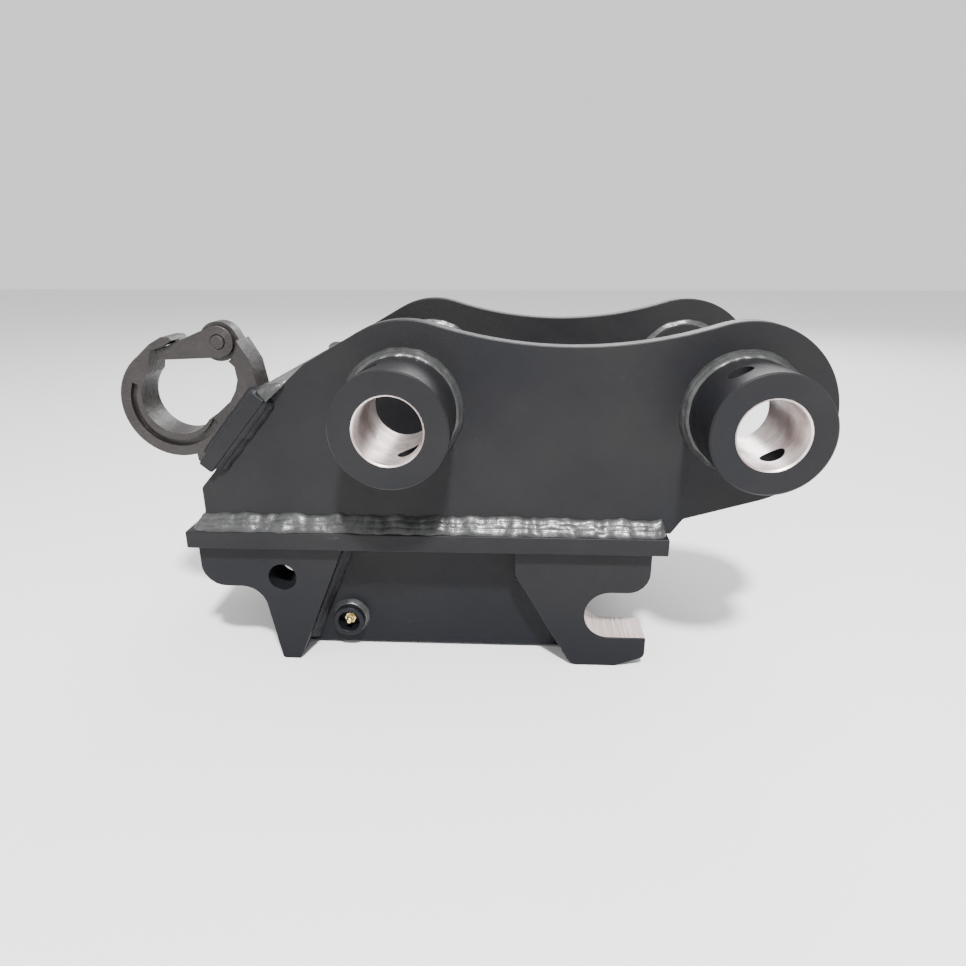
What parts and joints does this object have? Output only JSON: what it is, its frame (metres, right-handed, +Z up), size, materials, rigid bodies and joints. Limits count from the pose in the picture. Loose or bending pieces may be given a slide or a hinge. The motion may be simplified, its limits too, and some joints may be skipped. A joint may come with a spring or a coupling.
{
  "type": "excavator quick coupler",
  "caption": "Excavator quick coupler with two ears, pin bosses, a fixed hook jaw, a sliding lock and a latched lifting hook.",
  "frame": {"origin": "middle of the dipper arm pin axis, midway between the ears", "axes": "+X towards the open side of the fixed jaw, +Y to the left across the ears along the pins, +Z up from the base plate to the pins"},
  "size_m": [0.6866, 0.444, 0.36],
  "materials": {
    "charcoal_paint": "satin",
    "painted_weld": "gloss",
    "zinc_steel": "satin",
    "machined_steel": "satin",
    "forged_steel": "satin",
    "seal_rubber": "matte",
    "brass": "satin"
  },
  "bodies": {
    "coupler": {"base_plate": "charcoal_paint", "ear_plate_right": "charcoal_paint", "ear_plate_left": "charcoal_paint", "dipper_boss_right": "charcoal_paint", "dipper_boss_left": "charcoal_paint", "link_boss_right": "charcoal_paint", "link_boss_left": "charcoal_paint", "hook_plate_right": "charcoal_paint", "hook_plate_left": "charcoal_paint", "saddle_plate_right": "charcoal_paint", "saddle_plate_left": "charcoal_paint", "housing_side_right": "charcoal_paint", "housing_side_left": "charcoal_paint", "front_cross_plate": "charcoal_paint", "rear_cross_plate": "charcoal_paint", "lock_guide_block": "charcoal_paint", "bottom_cover": "charcoal_paint", "cover_lugs": "charcoal_paint", "cover_screws": "zinc_steel", "cylinder_barrel": "charcoal_paint", "cylinder_end_cap": "charcoal_paint", "cap_screws": "zinc_steel", "cylinder_gland": "machined_steel", "rod_seal": "seal_rubber", "rod_wiper": "seal_rubber", "lock_valve": "zinc_steel", "hose_adapters": "zinc_steel", "grease_nipples": "brass", "nipple_guards": "charcoal_paint", "nose_plate": "charcoal_paint", "lifting_hook": "forged_steel", "latch_pin": "forged_steel", "latch_spring": "zinc_steel", "ear_weld_right": "painted_weld", "ear_weld_left": "painted_weld", "boss_welds": "painted_weld", "nose_welds": "painted_weld", "lifting_hook_welds": "painted_weld", "housing_welds": "painted_weld", "nipple_guard_welds": "painted_weld"},
    "lock": {"cylinder_piston": "machined_steel", "piston_seal": "seal_rubber", "cylinder_rod": "zinc_steel", "rod_nut": "zinc_steel", "lock_yoke": "charcoal_paint", "lock_bar_right": "zinc_steel", "lock_bar_left": "zinc_steel", "lock_bar_screws": "zinc_steel"},
    "latch": {"hook_latch": "forged_steel"}
  },
  "joints": [
    {"name": "lock_slide", "type": "slide", "parent": "coupler", "child": "lock", "axis": [-1, 0, 0], "range_m": [0, 0.05]},
    {"name": "hook_latch_hinge", "type": "hinge", "parent": "coupler", "child": "latch", "pos_m": [-0.49825, -0.112, 0.06084], "axis": [0, -1, 0], "range_deg": [0, 55], "stiffness_Nm_per_rad": 0.5, "springref_deg": -28.65}
  ]
}
